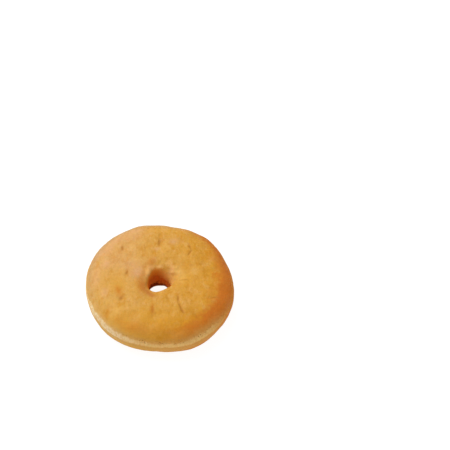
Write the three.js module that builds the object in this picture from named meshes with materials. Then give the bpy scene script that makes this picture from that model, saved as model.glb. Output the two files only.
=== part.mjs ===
// A plain yeast-raised ring doughnut, fried on both sides, with a pale line round its side.
// Millimetres, +Z up. It lies flat, and the origin is the middle of its footprint, on the table.
// +X is the ring's right and -Y its front, as it is seen from the front and above.
import * as THREE from "three";
import { ParametricGeometry } from "three/addons/geometries/ParametricGeometry.js";

// Driving dimensions
const ringRadius = 43.3; // mean radius of the outer side
const ringHeight = 24.4; // table to crown
const holeRadius = 6.9; // mean radius of the hole where it is narrowest
const holeCentre = new THREE.Vector2(-0.5, -1.2);
const waistShare = 0.5; // height of the widest level, as a share of the ring's height
const restDepth = 0.35; // how far the soft underside is pressed flat where it rests

// Squareness of the dough's section: 2 is an ellipse, and more is nearer to a box.
const outerSquareness = 2.5;
const holeSquareness = 5.0;
const underEase = 0.35; // how much less square the section is below

// The pale line round the side swells out between two shallow creases.
const lineShare = 0.61; // height of its middle, as a share of the ring's height
const lineWidth = 4.4;
const creaseWidth = 1.2;
const creaseDepth = 0.32; // of the upper crease; the lower one is half as deep

// Mesh steps
const ringSteps = 98;
const sectionSteps = 60;
const crownCrowding = 0.12; // makes the steps finer over the crown and coarser below
const wallCrowding = 0.18; // makes them finer on both walls and coarser between them

// Unevenness: [waves in a turn, share of the mean, direction of the peak in degrees]
const outlineWaves = [
  [2, 0.0356, -27],
  [3, 0.0022, -44],
  [4, 0.0099, 42],
  [6, 0.0069, -9],
  [7, 0.0036, -6],
];
const holeWaves = [
  [2, 0.06, 70],
  [3, 0.1, 10],
];
const lipWaves = [
  [1, 0.42, 205],
  [2, 0.1, 100],
];
const heightWaves = [
  [1, 0.012, 200],
  [2, 0.014, 60],
  [3, 0.008, 310],
];

// Broad swells of the crust
const swellLength = 17;
const swellHeight = 0.15;
const swellCount = 9;
const swellOnSide = 0.3; // height of the swells on the sides, as a share of that on the crown

// Dents in the top crust: [x, y, length, width, depth, direction in degrees]
const dents = [
  [-22.4, 19.4, 2.4, 1.4, 0.45, 95],
  [-0.7, 23.9, 1.8, 1.6, 0.45, 0],
  [-18.7, 2.0, 2.2, 1.4, 0.5, 80],
  [-21.4, -15.0, 2.0, 1.5, 0.5, 60],
  [-2.3, -23.7, 3.0, 1.5, 0.5, 95],
  [24.9, 8.6, 2.4, 1.6, 0.3, 20],
  [21.8, -26.4, 2.6, 1.6, 0.3, 130],
];

// Folds in the top crust: [x, y, length, width, depth, direction in degrees]
const folds = [
  [11.6, -15.4, 3.2, 1.3, 0.4, 93],
  [13.6, -22.2, 3.6, 1.3, 0.4, 114],
  [16.8, 20.0, 2.8, 1.3, 0.4, 112],
  [17.0, 15.2, 2.4, 1.3, 0.4, 60],
  [14.6, -1.8, 4.4, 1.4, 0.3, 175],
  [-12.0, 4.5, 5.0, 3.0, 0.5, 150],
];

const fullTurn = 2 * Math.PI;

// The mean, made larger and smaller round the ring.
function uneven(mean, waves, turn) {
  const share = waves.reduce(
    (sum, [count, size, peak]) =>
      sum + size * Math.cos(count * (turn - THREE.MathUtils.degToRad(peak))),
    1,
  );
  return mean * share;
}

function pointAt(radius, turn) {
  return new THREE.Vector2(radius * Math.cos(turn), radius * Math.sin(turn));
}

// Low swells: cosines whose directions and lengths step round by the golden angle.
function swell(x, y, z) {
  const goldenAngle = 2.399963;
  let height = 0;
  for (let i = 0; i < swellCount; i++) {
    const heading = i * goldenAngle;
    const slant = Math.cos(i * 1.7) * 0.6;
    const length = swellLength * (1 + 0.5 * Math.cos(i * 2.1));
    const along = x * Math.cos(heading) + y * Math.sin(heading) + z * slant;
    height += Math.cos((fullTurn * along) / length + i * 1.3);
  }
  return (height * swellHeight) / Math.sqrt(swellCount / 2);
}

// An oval hollow with soft edges, seen from above.
function hollow([midX, midY, length, width, depth, direction], x, y) {
  const heading = THREE.MathUtils.degToRad(direction);
  const along = (x - midX) * Math.cos(heading) + (y - midY) * Math.sin(heading);
  const across = (y - midY) * Math.cos(heading) - (x - midX) * Math.sin(heading);
  return -depth * Math.exp(-((along / length) ** 2) - (across / width) ** 2);
}

// The creases above and below the pale line, at one height of the side.
function creases(up, height) {
  const middle = height * lineShare;
  const above = (up - middle - lineWidth / 2) / creaseWidth;
  const below = (up - middle + lineWidth / 2) / creaseWidth;
  return -creaseDepth * (Math.exp(-(above ** 2)) + Math.exp(-(below ** 2)) / 2);
}

// One point of the crust: turn goes round the ring, and lift round the section from its outside.
function crustPoint(turn, lift) {
  const outer = pointAt(uneven(ringRadius, outlineWaves, turn), turn);
  const inner = pointAt(uneven(holeRadius, holeWaves, turn), turn).add(holeCentre);
  const middle = outer.clone().add(inner).multiplyScalar(0.5);
  const outward = outer.clone().sub(inner).normalize();
  const halfWidth = outer.distanceTo(inner) / 2;
  const height = uneven(ringHeight, heightWaves, turn);
  const waist = height * waistShare;
  const halfHeight = lift < Math.PI ? height - waist : waist + restDepth;

  // The section is a superellipse whose squareness goes from the outer value to the hole's.
  const lip = uneven(holeSquareness, lipWaves, turn);
  const square =
    (outerSquareness + lip) / 2 +
    ((outerSquareness - lip) / 2) * Math.cos(lift) -
    underEase * Math.max(0, -Math.sin(lift));
  const wide = Math.abs(Math.cos(lift) / halfWidth);
  const tall = Math.abs(Math.sin(lift) / halfHeight);
  const reach = (wide ** square + tall ** square) ** (-1 / square);
  const normal = new THREE.Vector2(
    (Math.sign(Math.cos(lift)) * (wide * reach) ** (square - 1)) / halfWidth,
    (Math.sign(Math.sin(lift)) * (tall * reach) ** (square - 1)) / halfHeight,
  ).normalize();

  const place = middle.addScaledVector(outward, reach * Math.cos(lift));
  const up = waist + reach * Math.sin(lift);
  const onTop = THREE.MathUtils.smoothstep(normal.y, 0.3, 0.9);
  const onSide = THREE.MathUtils.smoothstep(normal.x, 0.3, 0.8);
  const relief =
    swell(place.x, place.y, up) * THREE.MathUtils.lerp(swellOnSide, 1, Math.abs(normal.y)) +
    onTop * [...dents, ...folds].reduce((sum, one) => sum + hollow(one, place.x, place.y), 0) +
    onSide * creases(up, height);
  place.addScaledVector(outward, relief * normal.x);
  return new THREE.Vector3(place.x, place.y, Math.max(0, up + relief * normal.y));
}

function makeDoughnut() {
  const geometry = new ParametricGeometry(
    (u, v, target) => {
      const around = fullTurn * v;
      const lift =
        around + crownCrowding * Math.cos(around) - wallCrowding * Math.sin(2 * around);
      target.copy(crustPoint(fullTurn * u, THREE.MathUtils.euclideanModulo(lift, fullTurn)));
    },
    ringSteps,
    sectionSteps,
  );
  geometry.computeBoundingBox();
  const middle = geometry.boundingBox.getCenter(new THREE.Vector3());
  geometry.translate(-middle.x, -middle.y, 0);
  return geometry;
}

const crust = new THREE.MeshStandardMaterial({
  color: 0xd89f4b,
  roughness: 0.55,
  metalness: 0,
});

const doughnut = new THREE.Mesh(makeDoughnut(), crust);
doughnut.name = "ring_doughnut";

const group = new THREE.Group();
group.add(doughnut);
export default group;
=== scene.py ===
from math import radians
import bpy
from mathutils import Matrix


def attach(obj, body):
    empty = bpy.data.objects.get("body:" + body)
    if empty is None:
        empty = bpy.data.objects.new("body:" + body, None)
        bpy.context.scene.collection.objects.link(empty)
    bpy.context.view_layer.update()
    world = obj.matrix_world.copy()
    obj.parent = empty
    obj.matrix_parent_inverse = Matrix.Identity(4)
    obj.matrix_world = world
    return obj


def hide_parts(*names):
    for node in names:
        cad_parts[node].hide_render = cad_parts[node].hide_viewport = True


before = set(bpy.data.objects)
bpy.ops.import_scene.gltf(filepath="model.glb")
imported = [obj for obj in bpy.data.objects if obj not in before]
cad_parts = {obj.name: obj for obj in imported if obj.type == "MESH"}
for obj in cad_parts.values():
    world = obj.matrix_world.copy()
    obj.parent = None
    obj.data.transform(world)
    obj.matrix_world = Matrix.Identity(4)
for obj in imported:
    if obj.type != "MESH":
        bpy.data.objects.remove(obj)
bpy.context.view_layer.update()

from types import SimpleNamespace

import bpy
import numpy as np
from mathutils import Vector

# A plain fried ring doughnut on a pale table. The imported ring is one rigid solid, and its place is
# taken here by a finer crust of the same form, with its wrinkles, blisters and browning.
# Shapes are worked out in millimetres, with +Z up, and then the footprint's middle goes to the origin.
millimetre = 0.001
goldenAngle = 2.399963

doughnut = {
    "ring": {
        "radius": 43.3,           # mean radius of the outer side
        "height": 24.4,           # table to crown
        "holeRadius": 6.9,        # mean radius of the hole where it is narrowest
        "holeCentre": (-0.5, -1.2),
        "waistShare": 0.5,        # height of the widest level, as a share of the height
        "restDepth": 0.35,        # how far the soft underside is pressed flat
        "outerSquareness": 2.5,   # 2 is an ellipse, and more is nearer to a box
        "holeSquareness": 5.0,
        "underEase": 0.35,        # how much less square the section is below
        # waves in a turn, share of the mean, direction of the peak in degrees
        "outlineWaves": [
            (2, 0.0356, -27),
            (3, 0.0022, -44),
            (4, 0.0099, 42),
            (6, 0.0069, -9),
            (7, 0.0036, -6),
        ],
        "holeWaves": [(2, 0.06, 70), (3, 0.1, 10)],
        "lipWaves": [(1, 0.42, 205), (2, 0.1, 100)],
        "heightWaves": [(1, 0.012, 200), (2, 0.014, 60), (3, 0.008, 310)],
        "turnSteps": 440,
        "sectionSteps": 218,
    },
    # How far the skin faces some way, from 0 to 1: where a feature begins, and where it is full
    "facing": {
        "top": (0.3, 0.9),        # up: dents, folds and patches
        "lipPaleHighlight": (0.2, 0.6),
        "side": (0.3, 0.8),       # out: the creases and the fringe of the pale line
        "lineColour": (0.15, 0.5),
        "backRimShade": (0.25, 0.7),
        "shoulderBrownShade": (0.25, 0.75),
        "ruffle": (0.1, 0.4),     # into the hole: the ragged lip, and where it ends again
        "ruffleEnd": (0.95, 0.7),
        "wall": (0.6, 0.97),
        "underShade": (0.1, 0.55),     # down, where the skin has painted shade
    },
    "relief": {
        "swellLength": 17,        # broad swells
        "swellHeight": 0.15,
        "swellCount": 9,
        "swellOnSide": 0.3,
        # x, y, length, width, depth, direction in degrees
        "dents": [
            (-22.4, 20.0, 1.9, 0.8, 0.38, 95),
            (-0.6, 23.8, 2.2, 0.9, 0.42, 88),
            (-18.8, 2.4, 2.2, 0.9, 0.4, 80),
            (-21.2, -15.8, 1.7, 1.0, 0.35, 60),
            (-2.6, -23.7, 3.0, 1.1, 0.2, 95),
            (24.9, 8.6, 2.2, 1.3, 0.15, 20),
            (21.8, -26.4, 2.4, 1.3, 0.2, 130),
        ],
        "folds": [
            (11.7, -15.4, 3.0, 0.9, 0.3, 93),
            (12.9, -20.6, 2.2, 0.7, 0.3, 110),
            (14.3, -24.0, 1.8, 0.9, 0.36, 120),
            (17.7, 20.7, 2.8, 0.7, 0.3, 107),
            (17.7, 16.2, 2.1, 0.7, 0.34, 63),
            (14.7, -1.7, 4.0, 0.8, 0.2, 178),
            (31.6, -14.4, 3.2, 0.7, 0.22, 15),
        ],
        "saddle": [(-12.0, 4.5, 5.0, 3.0, 0.5, 150)],    # the broad low place left of the hole
        "dentShaded": 0.35,       # depth at which a dent or a fold is shaded in full
        "foldShaded": 0.25,
        "saddleClear": 0.1,       # depth past which the saddle is free of shade
        "rippleLength": 5.5,      # small undulations of the skin
        "rippleHeight": 0.03,
        "wrinkleLength": 2.0,     # fine wrinkles
        "wrinkleHeight": 0.02,
        "wrinklePatch": 14,       # they come and go in patches of this length
        "wrinkledFrom": (-0.2, 1.2),
        "lipLength": 4.2,         # raggedness of the hole's upper lip
        "lipHeight": 0.12,
        # swellings of the hole's wall: x, y, z, size, height
        "bulges": [
            (-6.4, 4.0, 21.0, 2.8, 1.5),
            (-7.4, -0.2, 20.5, 2.2, 0.5),
            (5.2, 3.6, 7.0, 3.0, 1.3),
        ],
        "blisters": 150,
        "blisterSize": (0.5, 1.3),
        "blisterHeight": (0.02, 0.08),
        "blistersAbove": 3,       # height over the table, and the greatest share of the pale line's skin
        "blistersInLine": 0.1,
        "pits": 260,              # rough skin along the top of the pale line
        "pitSize": (0.3, 0.7),
        "pitDepth": (0.03, 0.12),
        "pitFringe": 0.3,         # least share of the rough skin where there are pits
        "seed": 12,
    },
    # Heights here are levels above the line's middle. A pair of levels is where a soft edge is clear of
    # it and where it is full, and a pair of degrees is a direction and how far it carries on each side.
    "paleLine": {
        "share": 0.625,           # height of its middle, as a share of the ring's height
        "levelWaves": [(2, 0.02, 10), (3, 0.02, 100), (5, 0.032, -64)],
        "halfWidth": 1.6,
        "ragged": 0.5,            # how far its upper crease wanders, and over what length
        "raggedLength": 2.6,
        "creaseWidth": 0.9,
        "creaseDepth": 0.14,
        "smoothSkin": (3.5, 1.5), # there are no wrinkles or blisters this near to it
        "cream": (-142, 38),      # where it is palest
        "lost": (-5, 32),         # where it fades to brown
        "broad": (-48, 18),       # where it reaches higher
        "rough": (-76, 46),       # where the skin above it is rough
        "fringeFoot": (0.6, 1.8), # from where that skin reaches, and up to where
        "fringeTop": (5.0, 3.0),
        "teeth": 2.6,             # how far its painted edges wander, finely and broadly
        "wander": 2.5,
        "edgeTop": (5.8, 2.2),    # the soft tan edge
        "edgeFoot": (-7.5, -4.0),
        "coreTop": (2.6, 0.8),    # the pale line itself
        "coreFoot": (-2.1, -0.5),
        "broadRise": 1.1,         # how much higher it reaches where it is broad, and where it is palest
        "creamRise": 0.8,
        "creamDrop": 1.0,         # how much lower it reaches where it is palest
        "coreLost": 0.45,         # share of the core that is gone where it fades to brown
    },
    "browning": {
        "side": (-25, 48),        # the side that is browned most: direction, spread
        "shoulderBrownShade": (32, 32),     # the browned rim of the far right, darkened further with painted shade
        "backRimShade": (130, 60),        # painted shade and painted sheen on the rim of the far left
        "rimAbove": (1, 3),       # both keep above the pale line
        "warmMiddle": 0.45,       # from 0, honey, to 1, gold, in the middle
        "warmFront": 0.5,         # added at the front, and the y where that begins and is full
        "frontFrom": (-18, -36),
    },
    "wall": {
        "top": 22.5,              # height where the colour of the hole's wall starts
        "lowered": [(3.5, 0, 55), (1.5, 160, 40)],    # by how much it starts lower, direction, spread
        "topEdge": 1,             # softness of the start
        "foot": 4,                # height of the deepest colour, the painted shade at the hole's foot
        "lip": (14, 19),          # heights from which the lip has painted shade and is ragged
        "litSide": (15, 55),        # its side with painted light: direction, spread
        "ragged": 0.5,            # how far the depths wander
        "middleDepth": (0.0, 0.5),    # depths, from 0 to 1, where its colours change
        "deepDepth": (0.72, 0.96),
        "litSideDepth": (0.25, 0.6),
        "litSideLost": 0.9,         # share of that side's painted light that the depth takes away
    },
    # Patches of colour, the crust's own and painted sheen, shade and highlight: x, y, length, width,
    # strength, direction in degrees
    "patches": {
        "golden": [               # a clearer yellow
            (-23.0, -5.0, 7.0, 5.0, 0.9, 110),
            (16.0, 0.5, 7.0, 5.0, 0.6, 90),
            (-6.0, -27.0, 14.0, 5.0, 0.5, 0),
            (-16.0, -33.5, 13.0, 4.6, 1.0, -24),
            (-33.0, -3.0, 6.0, 3.0, 0.5, 90),
        ],
        "bright": [               # lighter crust
            (10.4, 5.6, 3.4, 2.2, 1.0, 80),
            (13.1, 14.2, 3.0, 2.0, 0.6, 90),
            (20.9, 3.8, 3.0, 2.0, 0.6, 0),
            (-14.9, 12.1, 2.5, 2.0, 0.7, 0),
            (-23.5, -25.0, 4.5, 2.6, 0.8, 30),
            (-26.3, -16.9, 2.5, 2.0, 0.6, 0),
            (-16.5, 22.0, 5.0, 2.2, 0.6, 35),
            (3.0, 21.3, 2.5, 2.0, 0.6, 90),
            (12.6, 1.2, 4.6, 3.0, 0.8, 85),
            (-9.0, -35.5, 6.0, 2.4, 0.5, -10),
            (-22.0, -33.0, 7.0, 3.0, 0.45, -35),
            (14.0, -37.5, 8.0, 1.8, 0.5, 20),
        ],
        "paintedSheen": [                # paler and pinkish: painted sheen
            (-12.8, 2.6, 4.8, 3.8, 1.0, 60),
            (-31.5, 8.4, 3.6, 3.0, 0.6, 60),
            (-37.0, 0.0, 8.0, 3.0, 0.55, 90),
            (-30.5, 19.0, 4.5, 2.6, 0.5, 60),
            (-16.7, 29.0, 7.0, 3.2, 0.6, 10),
            (-31.0, -11.5, 3.4, 2.0, 0.6, 90),
            (-1.8, 19.5, 1.5, 1.2, 0.7, 0),
            (8.0, 24.6, 3.0, 2.0, 0.6, 20),
            (-24.0, 14.0, 13.0, 10.0, 0.4, 60),
            (-27.0, 26.5, 7.0, 3.0, 0.7, 45),
            (-36.0, 17.0, 5.0, 2.6, 0.8, 60),
            (-15.0, 33.5, 6.0, 2.0, 0.7, 10),
            (-17.0, 8.6, 4.6, 3.0, 0.5, 20),
        ],
        "tan": [                  # browner and more orange
            (-22.8, -11.5, 4.2, 1.4, 0.7, 111),
            (-3.0, -22.6, 3.6, 1.3, 0.9, 92),
            (-29.0, -24.5, 4.2, 1.6, 0.4, 70),
            (-4.8, 10.4, 3.0, 1.7, 0.8, 85),
            (-14.0, -33.0, 6.0, 3.0, 0.3, 20),
            (32.0, -10.0, 4.0, 3.0, 0.6, 100),
            (-22.7, -9.8, 3.0, 2.4, 0.35, 0),
            (18.5, -33.0, 3.4, 2.2, 0.8, 20),
            (-10.5, -35.5, 8.0, 3.2, 0.6, -8),
            (-21.5, -30.0, 4.0, 2.4, 0.45, -30),
        ],
        "lipShade": [             # painted shade on the roll of the hole's left lip
            (-9.2, -6.0, 5.6, 3.0, 1.0, 95),
            (-9.5, 2.6, 2.4, 1.4, 0.55, 80),
            (-7.4, 8.6, 2.6, 1.7, 0.4, 30),
            (-4.6, -12.2, 3.6, 1.7, 1.0, -40),
            (-4.0, 10.2, 3.0, 1.5, 0.45, 60),
        ],
        "lipPaleHighlight": [              # pale spots on the hole's far lip: paler crust with painted highlight
            (-4.6, 7.0, 1.8, 1.4, 0.8, 20),
            (-6.6, 4.0, 2.8, 1.3, 1.0, 70),
            (0.0, 7.9, 2.4, 0.9, 1.0, 0),
            (7.4, 6.8, 2.8, 1.4, 1.0, 110),
            (7.6, 0.0, 2.2, 1.4, 0.8, 90),
            (6.0, 4.7, 2.2, 1.4, 0.8, 50),
        ],
    },
    # Red, green and blue as a screen shows them, 0 to 255
    "colours": {
        "honey": (214, 165, 86),
        "gold": (208, 145, 40),
        "peach": (222, 170, 96),
        "amber": (202, 138, 38),
        "fleck": (182, 122, 42),
        "golden": (214, 157, 57),
        "bright": (228, 179, 97),
        # painted sheen
        "paintedSheen": (219, 168, 120),
        # painted shade and painted sheen of the far-left rim
        "backRimShade": (188, 150, 108),
        "tan": (206, 132, 44),
        "browned": (203, 116, 37),
        # browning and painted shade of the far-right rim
        "shoulderBrownShade": (190, 94, 34),
        "dent": (168, 104, 28),
        "fold": (168, 104, 28),
        # painted shade on the hole's left lip
        "lipShade": (190, 118, 50),
        # paler crust with painted highlight on the hole's far lip
        "lipPaleHighlight": (232, 176, 104),
        "wallTop": (222, 138, 46),
        # darker with depth into the hole: painted shade, here and in the deepest colour below
        "wallMiddle": (208, 108, 34),
        # painted light on one side of the hole's wall
        "wallLit": (240, 186, 100),
        "wallDeep": (110, 33, 6),
        "linePale": (242, 214, 166),
        "lineTan": (234, 190, 118),
        "lineBrown": (200, 134, 56),
        "edgeTan": (211, 156, 81),
        "edgeCream": (220, 174, 102),
        "speck": (154, 92, 34),
        # painted shade on the skin that faces down
        "underShade": (190, 140, 80),
    },
    # How strongly a colour goes over the ones below it, where that isn't in full
    "shares": {
        "amber": 0.75,
        "fleck": 0.3,
        "golden": 0.8,
        "bright": 0.7,
        "paintedSheen": 0.8,
        "backRimShade": 0.75,
        "tan": 0.95,
        "shoulderBrownShade": 0.75,
        "dent": 0.7,
        "fold": 0.6,
        "lipShade": 0.9,
        "lipPaleHighlight": 0.9,
        "wallLit": 0.9,
        "edge": 0.75,
        "speck": 0.8,
        "underShade": 0.8,
    },
    "finish": {
        "roughness": 0.48,
        "roughnessVaries": 0.12,
        "roughnessOfLine": 0.1,   # added on the pale line
        "bumpHeight": 0.0003,     # in metres
        "coat": 0.08,             # a little frying oil, more of it in patches
        "coatVaries": 0.12,
        "coatRoughness": 0.42,
        "specular": 0.0,
        "scatter": 0.12,          # light that sinks into the dough
        "scatterDepth": 0.003,    # in metres, and how much of it red, green and blue reach
        "scatterReach": (1.0, 0.5, 0.2),
    },
}


def uneven(mean, waves, turn):
    # The mean times 1 plus a few cosines of the turn: (waves in a turn, share, direction of the peak).
    share = 1 + sum(size * np.cos(count * (turn - radians(peak))) for count, size, peak in waves)
    return mean * share


def smoothstep(low, high, value):
    # 0 at low, 1 at high, and 3 t^2 - 2 t^3 between them; low may be the greater one.
    part = np.clip((value - low) / (high - low), 0, 1)
    return part * part * (3 - 2 * part)


def arc(turn, towards, spread):
    # 1 in one direction, and exp(-(angle away / spread)^3) round from it.
    away = np.abs(np.angle(np.exp(1j * (turn - radians(towards)))))
    return np.exp(-(away / radians(spread)) ** 3)


def section(turn, lift):
    # A superellipse stood between the outer point and the hole's point at each turn. Its squareness goes
    # from the outer value to the lip's with the cosine of the lift. The skin that it gives has its place,
    # the direction out of the hole, the normal as (outward, up), and the ring's height there.
    ring = doughnut["ring"]
    outer = uneven(ring["radius"], ring["outlineWaves"], turn)
    inner = uneven(ring["holeRadius"], ring["holeWaves"], turn)
    outerX, outerY = outer * np.cos(turn), outer * np.sin(turn)
    innerX = inner * np.cos(turn) + ring["holeCentre"][0]
    innerY = inner * np.sin(turn) + ring["holeCentre"][1]
    halfWidth = np.hypot(outerX - innerX, outerY - innerY) / 2
    outX, outY = (outerX - innerX) / 2 / halfWidth, (outerY - innerY) / 2 / halfWidth
    height = uneven(ring["height"], ring["heightWaves"], turn)
    waist = height * ring["waistShare"]
    halfHeight = np.where(np.sin(lift) >= 0, height - waist, waist + ring["restDepth"])
    lip = uneven(ring["holeSquareness"], ring["lipWaves"], turn)
    square = (ring["outerSquareness"] + lip) / 2 + (ring["outerSquareness"] - lip) / 2 * np.cos(lift)
    square = square - ring["underEase"] * np.maximum(0, -np.sin(lift))
    wide = np.abs(np.cos(lift)) / halfWidth
    tall = np.abs(np.sin(lift)) / halfHeight
    reach = (wide ** square + tall ** square) ** (-1 / square)
    normalOut = np.sign(np.cos(lift)) * (wide * reach) ** (square - 1) / halfWidth
    normalUp = np.sign(np.sin(lift)) * (tall * reach) ** (square - 1) / halfHeight
    size = np.hypot(normalOut, normalUp)
    return SimpleNamespace(
        turn=turn,
        x=(outerX + innerX) / 2 + reach * np.cos(lift) * outX,
        y=(outerY + innerY) / 2 + reach * np.cos(lift) * outY,
        z=waist + reach * np.sin(lift),
        outX=outX,
        outY=outY,
        normalOut=normalOut / size,
        normalUp=normalUp / size,
        height=height,
    )


def evenLifts(count, fineSteps=4001):
    # Lifts that cut the section at turn 0 into equal lengths, from its running length in fine steps.
    fine = np.linspace(0, 2 * np.pi, fineSteps)
    skin = section(np.zeros_like(fine), fine)
    run = np.concatenate([[0], np.cumsum(np.hypot(np.diff(skin.x), np.diff(skin.z)))])
    return np.interp(np.arange(count) / count * run[-1], run, fine)


def swells(skin):
    # Cosines whose headings and lengths step round by fixed angles, lower where the skin faces sideways.
    relief = doughnut["relief"]
    total = 0
    for i in range(relief["swellCount"]):
        length = relief["swellLength"] * (1 + 0.5 * np.cos(i * 2.1))
        heading = i * goldenAngle
        along = skin.x * np.cos(heading) + skin.y * np.sin(heading) + skin.z * np.cos(i * 1.7) * 0.6
        total = total + np.cos(2 * np.pi * along / length + i * 1.3)
    height = total * relief["swellHeight"] / np.sqrt(relief["swellCount"] / 2)
    return height * (relief["swellOnSide"] + (1 - relief["swellOnSide"]) * np.abs(skin.normalUp))


def ripples(skin, length, start, count=18):
    # A random-looking field of about unit height: cosines whose directions step over a sphere by the
    # golden angle, with lengths that vary by a third, divided by the root of half their count.
    total = 0
    for i in range(count):
        rise = 1 - 2 * (i + 0.5) / count
        flat = np.sqrt(1 - rise * rise)
        heading = i * goldenAngle + start
        wave = length * (1 + 0.33 * np.cos(i * 2.7 + start))
        along = flat * np.cos(heading) * skin.x + flat * np.sin(heading) * skin.y + rise * skin.z
        total = total + np.cos(2 * np.pi * along / wave + i * 1.9 + start)
    return total / np.sqrt(count / 2)


def ovals(listed, skin):
    # Oval gaussians seen from above, added up: exp(-(along / length)^2 - (across / width)^2).
    total = 0
    for midX, midY, length, width, height, direction in listed:
        heading = radians(direction)
        along = (skin.x - midX) * np.cos(heading) + (skin.y - midY) * np.sin(heading)
        across = (skin.y - midY) * np.cos(heading) - (skin.x - midX) * np.sin(heading)
        total = total + height * np.exp(-(along / length) ** 2 - (across / width) ** 2)
    return total


def lumps(listed, skin):
    # Round gaussians of the distance from listed places in space, added up.
    total = 0
    for midX, midY, midZ, size, height in listed:
        away = (skin.x - midX) ** 2 + (skin.y - midY) ** 2 + (skin.z - midZ) ** 2
        total = total + height * np.exp(-away / size ** 2)
    return total


def scatteredLumps(skin, allowed, count, sizes, heights, seed):
    # The same round gaussians, at seeded random points of the allowed skin.
    draw = np.random.default_rng(seed)
    spots = draw.choice(np.flatnonzero(allowed), count, replace=False)
    places = [values.flat[spots] for values in (skin.x, skin.y, skin.z)]
    listed = zip(*places, draw.uniform(*sizes, count), draw.uniform(*heights, count))
    return lumps(listed, skin)


def lineCreases(skin):
    # A gaussian of the level at each edge of the pale line. The upper one wanders with a ripple, and the
    # lower one is half as deep.
    line = doughnut["paleLine"]
    wander = line["ragged"] * ripples(skin, line["raggedLength"], start=1.3)
    upper = np.exp(-((skin.level - line["halfWidth"] + wander) / line["creaseWidth"]) ** 2)
    lower = np.exp(-((skin.level + line["halfWidth"]) / line["creaseWidth"]) ** 2)
    return line["creaseDepth"] * skin.onSide * (upper + lower / 2)


def fineSkin(skin):
    # Ripples everywhere, wrinkles in patches, blisters, and the ruffle of the hole's lip, added up. The
    # wrinkles and blisters keep off the pale line.
    relief = doughnut["relief"]
    facing = doughnut["facing"]
    nearLine = smoothstep(*doughnut["paleLine"]["smoothSkin"], np.abs(skin.level)) * skin.onSide
    patches = smoothstep(*relief["wrinkledFrom"], ripples(skin, relief["wrinklePatch"], start=3.1))
    wrinkles = ripples(skin, relief["wrinkleLength"], start=4.4) * patches * (1 - nearLine)
    small = ripples(skin, relief["rippleLength"], start=5.2)
    blistered = (nearLine < relief["blistersInLine"]) & (skin.z > relief["blistersAbove"])
    blisters = scatteredLumps(
        skin, blistered, relief["blisters"], relief["blisterSize"], relief["blisterHeight"], relief["seed"]
    )
    onLip = smoothstep(*facing["ruffle"], -skin.normalOut) * smoothstep(*doughnut["wall"]["lip"], skin.z)
    onLip = onLip * smoothstep(*facing["ruffleEnd"], -skin.normalOut)
    ruffle = ripples(skin, relief["lipLength"], start=2.2) * onLip
    return (
        relief["wrinkleHeight"] * wrinkles
        + relief["rippleHeight"] * small
        + blisters
        + relief["lipHeight"] * ruffle
    )


def crustMarks(skin):
    # What the material reads at each point: the level in millimetres, and shares from 0 to 1, which are
    # arcs of the turn, ovals seen from above, and soft steps of the facing and the height, multiplied.
    facing = doughnut["facing"]
    relief = doughnut["relief"]
    line = doughnut["paleLine"]
    browning = doughnut["browning"]
    wall = doughnut["wall"]
    patch = {name: np.clip(ovals(listed, skin), 0, 1) for name, listed in doughnut["patches"].items()}
    wallTop = wall["top"] - sum(drop * arc(skin.turn, *where) for drop, *where in wall["lowered"])
    wallEdge = smoothstep(wallTop + wall["topEdge"], wallTop - wall["topEdge"], skin.z)
    aboveLine = smoothstep(*browning["rimAbove"], skin.level)
    # the rims carry painted shade, with browning on the far right and painted sheen on the far left
    backRimShadeMask = smoothstep(*facing["backRimShade"], skin.normalOut) * aboveLine
    shoulderBrownShadeRim = smoothstep(*facing["shoulderBrownShade"], skin.normalOut) * aboveLine
    front = browning["warmFront"] * smoothstep(*browning["frontFrom"], skin.y)
    warm = browning["warmMiddle"] + skin.x / 2 / doughnut["ring"]["radius"] + front
    clearOfSaddle = ovals(relief["saddle"], skin) < relief["saddleClear"]
    return {
        "level": skin.level,
        "side": smoothstep(*facing["lineColour"], skin.normalOut),
        "cream": arc(skin.turn, *line["cream"]),
        "lost": arc(skin.turn, *line["lost"]),
        "broad": arc(skin.turn, *line["broad"]),
        "fringe": skin.fringe,
        "dent": np.clip(skin.dents / relief["dentShaded"], 0, 1),
        "fold": np.clip(skin.folds / relief["foldShaded"], 0, 1) ** 2 * clearOfSaddle,
        "turned": np.clip(skin.normalOut, 0, 1),
        "browned": arc(skin.turn, *browning["side"]),
        # browning and painted shade of the far-right rim
        "shoulderBrownShade": arc(skin.turn, *browning["shoulderBrownShade"]) * shoulderBrownShadeRim,
        # painted shade and painted sheen of the far-left rim
        "backRimShade": arc(skin.turn, *browning["backRimShade"]) * backRimShadeMask,
        "warm": np.clip(warm, 0, 1),
        "golden": patch["golden"],
        "bright": patch["bright"],
        # painted sheen in pinkish patches
        "paintedSheen": patch["paintedSheen"] * skin.onTop,
        "tan": patch["tan"] * skin.onTop,
        # painted shade on the hole's left lip
        "lipShade": patch["lipShade"] * smoothstep(*wall["lip"], skin.z),
        # paler crust with painted highlight on the hole's far lip
        "lipPaleHighlight": patch["lipPaleHighlight"] * smoothstep(*facing["lipPaleHighlight"], skin.normalUp),
        "wall": smoothstep(*facing["wall"], -skin.normalOut) * wallEdge,
        # how deep in the hole, for the wall's painted shade
        "depth": smoothstep(wallTop, wall["foot"], skin.z),
        # painted light on one side of the hole's wall
        "litWall": arc(skin.turn, *wall["litSide"]),
        # painted shade on the skin that faces down
        "underShade": smoothstep(*facing["underShade"], -skin.normalUp),
    }


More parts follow.
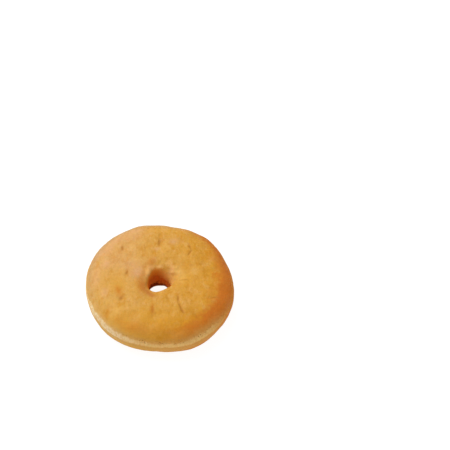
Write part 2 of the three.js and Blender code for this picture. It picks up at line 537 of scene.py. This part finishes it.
def closedSurface(name, places, marks):
    # A grid of points that closes on itself both ways becomes a mesh of quads, and each mark an attribute.
    turns, lifts = places.shape[:2]
    number = np.arange(turns * lifts).reshape(turns, lifts)
    ahead = np.roll(number, -1, 0)
    quads = np.stack([number, ahead, np.roll(ahead, -1, 1), np.roll(number, -1, 1)], -1)
    mesh = bpy.data.meshes.new(name)
    mesh.from_pydata(places.reshape(-1, 3).tolist(), [], quads.reshape(-1, 4).tolist())
    mesh.polygons.foreach_set("use_smooth", np.ones(turns * lifts, bool))
    for mark, values in marks.items():
        layer = mesh.attributes.new(mark, "FLOAT", "POINT")
        layer.data.foreach_set("value", np.broadcast_to(values, (turns, lifts)).astype(np.float32).ravel())
    mesh.update()
    piece = bpy.data.objects.new(name, mesh)
    bpy.context.scene.collection.objects.link(piece)
    return piece


def makeCrust():
    # The section at every turn and lift, moved along its normal by the height of the relief there and
    # kept above the table. Then the middle of its footprint goes to the origin.
    ring = doughnut["ring"]
    relief = doughnut["relief"]
    line = doughnut["paleLine"]
    turn = np.linspace(0, 2 * np.pi, ring["turnSteps"], endpoint=False)[:, None]
    skin = section(turn, evenLifts(ring["sectionSteps"])[None, :])
    skin.level = skin.z - skin.height * uneven(line["share"], line["levelWaves"], turn)
    skin.onTop = smoothstep(*doughnut["facing"]["top"], skin.normalUp)
    skin.onSide = smoothstep(*doughnut["facing"]["side"], skin.normalOut)
    skin.dents = ovals(relief["dents"], skin) * skin.onTop
    skin.folds = ovals(relief["folds"] + relief["saddle"], skin) * skin.onTop

    # the fringe is the rough skin along the top of the pale line
    skin.fringe = smoothstep(*line["fringeFoot"], skin.level) * smoothstep(*line["fringeTop"], skin.level)
    skin.fringe = skin.fringe * skin.onSide * arc(turn, *line["rough"])
    pitted = skin.fringe > relief["pitFringe"]
    pits = scatteredLumps(
        skin, pitted, relief["pits"], relief["pitSize"], relief["pitDepth"], relief["seed"] + 1
    )

    hollow = skin.dents + skin.folds + lineCreases(skin) + pits
    raised = swells(skin) + fineSkin(skin) + lumps(relief["bulges"], skin) - hollow
    skin.x = skin.x + raised * skin.normalOut * skin.outX
    skin.y = skin.y + raised * skin.normalOut * skin.outY
    skin.z = np.maximum(0, skin.z + raised * skin.normalUp)
    places = np.stack([skin.x, skin.y, skin.z], -1)
    middle = (places.min((0, 1)) + places.max((0, 1))) / 2
    places = (places - [middle[0], middle[1], 0]) * millimetre
    return closedSurface("fried_crust_ring", places, crustMarks(skin))


class Signal:
    # A number, colour or vector on its way through a material. Sums and products add Math nodes.
    def __init__(self, tree, socket):
        self.tree = tree
        self.socket = socket

    def node(self, kind, settings, values, output=0):
        # one node of any kind: its settings first, then a value or a link for each socket
        made = self.tree.nodes.new(kind)
        for name, value in settings.items():
            setattr(made, name, value)
        for name, value in values.items():
            if isinstance(value, Signal):
                self.tree.links.new(value.socket, made.inputs[name])
            else:
                made.inputs[name].default_value = value
        return Signal(self.tree, made.outputs[output])

    def maths(self, operation, first, second):
        # one Math node, from numbers or other signals
        return self.node("ShaderNodeMath", {"operation": operation}, {0: first, 1: second})

    def __add__(self, other):
        return self.maths("ADD", self, other)

    __radd__ = __add__

    def __sub__(self, other):
        return self.maths("SUBTRACT", self, other)

    def __rsub__(self, other):
        return self.maths("SUBTRACT", other, self)

    def __mul__(self, other):
        return self.maths("MULTIPLY", self, other)

    __rmul__ = __mul__

    def between(self, low, high):
        # 0 at low and 1 at high, with soft ends
        return self.node(
            "ShaderNodeMapRange",
            {"interpolation_type": "SMOOTHSTEP"},
            {"Value": self, "From Min": low, "From Max": high},
        )

    def mix(self, first, second):
        # self is the share of the second colour
        return self.node(
            "ShaderNodeMix",
            {"data_type": "RGBA", "clamp_factor": True},
            {0: self, 6: first, 7: second},
            output=2,
        )

    def scaled(self, amount):
        # a colour made lighter or darker
        return self.node("ShaderNodeVectorMath", {"operation": "SCALE"}, {0: self, "Scale": amount})

    def mark(self, name):
        # what the mesh itself says of each point
        return self.node("ShaderNodeAttribute", {"attribute_name": name}, {}, output="Fac")

    def noise(self, size, detail=2.0, roughness=0.5, stretch=(1, 1, 1), shift=0.0):
        # size is in millimetres; stretch lengthens the pattern along each axis, and shift moves it
        where = self.node("ShaderNodeTexCoord", {}, {}, output="Object")
        scale = tuple(1 / (size * millimetre * part) for part in stretch)
        places = {"Vector": where, "Scale": scale, "Location": (shift, shift, shift)}
        where = self.node("ShaderNodeMapping", {}, places)
        return self.node(
            "ShaderNodeTexNoise",
            {},
            {"Vector": where, "Scale": 1.0, "Detail": detail, "Roughness": roughness},
        )


def crustColour(name):
    # The named screen colour made linear: ((v + 0.055) / 1.055)^2.4, or v / 12.92 where it is dark.
    parts = np.array(doughnut["colours"][name]) / 255
    linear = np.where(parts <= 0.04045, parts / 12.92, ((parts + 0.055) / 1.055) ** 2.4)
    return (*linear.tolist(), 1.0)


def overlay(below, where, name):
    # The named colour over the one below, as much as the place and the colour's own share say.
    return (where * doughnut["shares"].get(name, 1.0)).mix(below, crustColour(name))


def friedColour(surface, mottle):
    # Honey on the left to gold on the right, under noises of three sizes, the patches with their painted
    # sheen, the browning of the side, the browning and painted shade of the far-right rim, the painted
    # shade and sheen of the far-left rim, the shade in dents and folds, and a fine grain.
    warm = surface.mark("warm")
    colour = warm.mix(crustColour("honey"), crustColour("gold"))
    along = (1, 1.5, 1)
    pale = surface.noise(3.5, detail=3, roughness=0.68, stretch=along).between(0.46, 0.68)
    colour = overlay(colour, pale * (0.85 - 0.5 * warm), "peach")    # more of it on the left
    deep = surface.noise(2.9, detail=3, roughness=0.68, stretch=along, shift=7.3).between(0.46, 0.68)
    colour = overlay(colour, deep, "amber")
    flecks = surface.noise(1.9, detail=2, roughness=0.6, stretch=along, shift=3.1).between(0.48, 0.74)
    colour = overlay(colour, flecks, "fleck")
    colour = overlay(colour, surface.mark("golden") * mottle, "golden")
    colour = overlay(colour, surface.mark("bright") * mottle, "bright")
    # painted sheen in pinkish patches
    colour = overlay(colour, surface.mark("paintedSheen") * mottle, "paintedSheen")
    # painted shade and painted sheen of the far-left rim
    colour = overlay(colour, surface.mark("backRimShade"), "backRimShade")
    colour = overlay(colour, surface.mark("tan") * mottle, "tan")
    broad = surface.noise(6, detail=3, shift=4.0) - 0.5
    fine = surface.noise(1.8, detail=2) - 0.5
    turned = (surface.mark("turned") + 0.5 * broad + 0.2 * fine).between(0.08, 0.4)
    colour = overlay(colour, turned * surface.mark("browned"), "browned")
    # the far-right rim: browning and painted shade
    colour = overlay(colour, surface.mark("shoulderBrownShade") * mottle, "shoulderBrownShade")
    colour = overlay(colour, surface.mark("dent"), "dent")
    colour = overlay(colour, surface.mark("fold"), "fold")
    grain = surface.noise(1.8, detail=2, roughness=0.7, shift=6.1)
    return colour.scaled(0.87 + 0.26 * grain)


def holeColour(surface, colour, mottle):
    # The wall goes from its top colour to a middle one and a deep one with the depth, darker as painted
    # shade, and has painted light on one side. Its lip has painted shade on the left and pale spots with
    # painted highlight on the far side.
    wall = doughnut["wall"]
    # painted shade on the hole's left lip
    colour = overlay(colour, surface.mark("lipShade") * mottle, "lipShade")
    depth = surface.mark("depth") + wall["ragged"] * (surface.noise(1.8, detail=3) - 0.5)
    # darker with depth as painted shade
    ofWall = overlay(crustColour("wallTop"), depth.between(*wall["middleDepth"]), "wallMiddle")
    # painted light on one side of the hole's wall
    litSide = surface.mark("litWall") * (1 - wall["litSideLost"] * depth.between(*wall["litSideDepth"]))
    ofWall = overlay(ofWall, litSide, "wallLit")
    ofWall = overlay(ofWall, depth.between(*wall["deepDepth"]), "wallDeep")
    colour = surface.mark("wall").mix(colour, ofWall)
    # paler crust with painted highlight on the hole's far lip
    return overlay(colour, surface.mark("lipPaleHighlight") * mottle, "lipPaleHighlight")


def lineColour(surface, colour):
    # The pale line is where the level, made ragged by two noises, is within its core, and a soft tan edge
    # reaches further. Rough skin above it has dark specks. Also gives the line's share of each point.
    line = doughnut["paleLine"]
    side = surface.mark("side")
    lost = surface.mark("lost")
    creamy = surface.mark("cream") * surface.mark("cream")
    teeth = (surface.noise(1.1, detail=3, roughness=0.65, stretch=(1, 1, 2)) - 0.5) * line["teeth"]
    wander = (surface.noise(7) - 0.5) * line["wander"]
    level = surface.mark("level") + teeth + wander
    upper = level - line["broadRise"] * surface.mark("broad")

    edge = upper.between(*line["edgeTop"]) * surface.mark("level").between(*line["edgeFoot"])
    edge = edge * side * (1 - lost)
    ofEdge = overlay(crustColour("edgeTan"), creamy, "edgeCream")
    colour = (edge * doughnut["shares"]["edge"]).mix(colour, ofEdge)

    core = (upper - line["creamRise"] * creamy).between(*line["coreTop"])
    lower = level + line["creamDrop"] * surface.mark("cream")
    core = core * lower.between(*line["coreFoot"]) * side * (1 - line["coreLost"] * lost)
    fibres = surface.noise(1.2, detail=3, stretch=(1, 1, 2.5)).between(0.35, 0.68)    # upright streaks
    ofLine = overlay(crustColour("lineTan"), creamy * (1.2 - 0.6 * fibres), "linePale")
    ofLine = overlay(ofLine, fibres * 0.3 + lost, "lineBrown")
    core = core * (0.85 + 0.25 * surface.noise(3.0, shift=2.0))
    colour = core.mix(colour, ofLine)

    specks = surface.noise(0.85, detail=1, shift=9.0).between(0.54, 0.66)
    specks = specks * surface.noise(5, shift=8.0).between(0.3, 0.56)
    return overlay(colour, specks * surface.mark("fringe"), "speck"), core


def crustMaterial():
    # The colours in turn, then a roughness, an oily coat and a fine bump from noises.
    finish = doughnut["finish"]
    material = bpy.data.materials.new("fried_crust")
    material.use_nodes = True
    tree = material.node_tree
    shader = tree.nodes["Principled BSDF"]
    surface = Signal(tree, None)    # where marks and noises start from
    mottle = 0.7 + 0.6 * surface.noise(3.2, detail=2, shift=1.7)
    colour = friedColour(surface, mottle)
    colour = holeColour(surface, colour, mottle)
    colour, line = lineColour(surface, colour)
    # painted shade on the skin that faces down
    colour = overlay(colour, surface.mark("underShade"), "underShade")
    tree.links.new(colour.socket, shader.inputs["Base Color"])

    sheen = surface.noise(3.5, detail=3).between(0.3, 0.7)
    roughness = finish["roughness"] + finish["roughnessVaries"] * sheen + finish["roughnessOfLine"] * line
    tree.links.new(roughness.socket, shader.inputs["Roughness"])

    oily = surface.noise(11, detail=2).between(0.42, 0.62)
    coat = (finish["coat"] + finish["coatVaries"] * oily) * (1 - line) * (1 - surface.mark("wall"))
    tree.links.new(coat.socket, shader.inputs["Coat Weight"])
    shader.inputs["Coat Roughness"].default_value = finish["coatRoughness"]

    pores = surface.noise(1.4, detail=3, roughness=0.6) + 0.6 * surface.noise(0.55, detail=1)
    bump = {"Height": pores, "Strength": 1.0, "Distance": finish["bumpHeight"]}
    tree.links.new(surface.node("ShaderNodeBump", {}, bump).socket, shader.inputs["Normal"])

    shader.inputs["Specular IOR Level"].default_value = finish["specular"]
    shader.inputs["Subsurface Weight"].default_value = finish["scatter"]
    shader.inputs["Subsurface Radius"].default_value = finish["scatterReach"]
    shader.inputs["Subsurface Scale"].default_value = finish["scatterDepth"]
    return material


crust = makeCrust()
crust.data.materials.append(crustMaterial())
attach(crust, "root")
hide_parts("ring_doughnut")
print("crust made:", len(crust.data.polygons), "quads")

table = {
    "width": 4.0,             # in metres, as all that follows is
    "drop": 0.0001,           # keeps the table just clear of the flat underside
    "colour": (0.2, 0.2, 0.2, 1),
    "glowColour": (1.0, 1.0, 1.0, 1),
    "glow": 0.9,              # a lit table top, which leaves only a faint shadow
    "roughness": 0.9,
}


def makeTable():
    # One square, centred under the ring.
    half = table["width"] / 2
    corners = [(-half, -half), (half, -half), (half, half), (-half, half)]
    mesh = bpy.data.meshes.new("table")
    mesh.from_pydata([(x, y, -table["drop"]) for x, y in corners], [], [(0, 1, 2, 3)])
    piece = bpy.data.objects.new("table", mesh)
    bpy.context.scene.collection.objects.link(piece)
    material = bpy.data.materials.new("table_top")
    material.use_nodes = True
    shader = material.node_tree.nodes["Principled BSDF"]
    shader.inputs["Base Color"].default_value = table["colour"]
    shader.inputs["Emission Color"].default_value = table["glowColour"]
    shader.inputs["Emission Strength"].default_value = table["glow"]
    shader.inputs["Roughness"].default_value = table["roughness"]
    mesh.materials.append(material)
    return piece


makeTable()
print("table made")

light = {
    "skyStrength": 0.55,
    "skyColour": (1.0, 1.0, 1.0, 1),
    "keyPlace": (-0.38, 0.32, 0.98),
    "keySize": 0.8,
    "keyPower": 8.0,
    "keyColour": (1.0, 0.985, 0.96),
}


def makeLights():
    # An even sky, and one round soft lamp that points at the origin.
    world = bpy.data.worlds.new("sky")
    world.use_nodes = True
    sky = world.node_tree.nodes["Background"]
    sky.inputs["Color"].default_value = light["skyColour"]
    sky.inputs["Strength"].default_value = light["skyStrength"]
    bpy.context.scene.world = world
    lamp = bpy.data.lights.new("key", "AREA")
    lamp.shape = "DISK"
    lamp.size = light["keySize"]
    lamp.energy = light["keyPower"]
    lamp.color = light["keyColour"]
    holder = bpy.data.objects.new("key", lamp)
    holder.location = light["keyPlace"]
    holder.rotation_euler = (-Vector(light["keyPlace"])).to_track_quat("-Z", "Y").to_euler()
    bpy.context.scene.collection.objects.link(holder)


makeLights()
bpy.context.scene.view_settings.view_transform = "Standard"
print("light made")

view = {
    "lens": 85,               # on a 36 mm sensor
    "sensor": 36,
    "frame": 450,             # pixels each way
    "elevation": 54,          # degrees that the camera looks down
    "distance": 0.6326,       # along the view, to the ring's middle
    "ringPixel": (160.0, 286.7),
    "clipStart": 0.01,
}


def makeCamera():
    # The camera stands back from the ring's middle along the view, and off to the side and up by the
    # tangents that bring that middle to its pixel.
    camera = bpy.data.objects.new("camera", bpy.data.cameras.new("camera"))
    camera.data.lens = view["lens"]
    camera.data.sensor_width = view["sensor"]
    camera.data.clip_start = view["clipStart"]
    slope = radians(view["elevation"])
    forward = Vector((0, np.cos(slope), -np.sin(slope)))
    right = Vector((1, 0, 0))
    up = right.cross(forward)
    pixelsPerTangent = view["frame"] * view["lens"] / view["sensor"]
    across = (view["ringPixel"][0] - view["frame"] / 2) / pixelsPerTangent
    down = (view["ringPixel"][1] - view["frame"] / 2) / pixelsPerTangent
    ringMiddle = Vector((0, 0, doughnut["ring"]["height"] / 2 * millimetre))
    camera.location = ringMiddle - view["distance"] * (forward + across * right - down * up)
    camera.rotation_euler = (np.pi / 2 - slope, 0, 0)
    bpy.context.scene.collection.objects.link(camera)
    bpy.context.scene.camera = camera


makeCamera()
print("camera made")
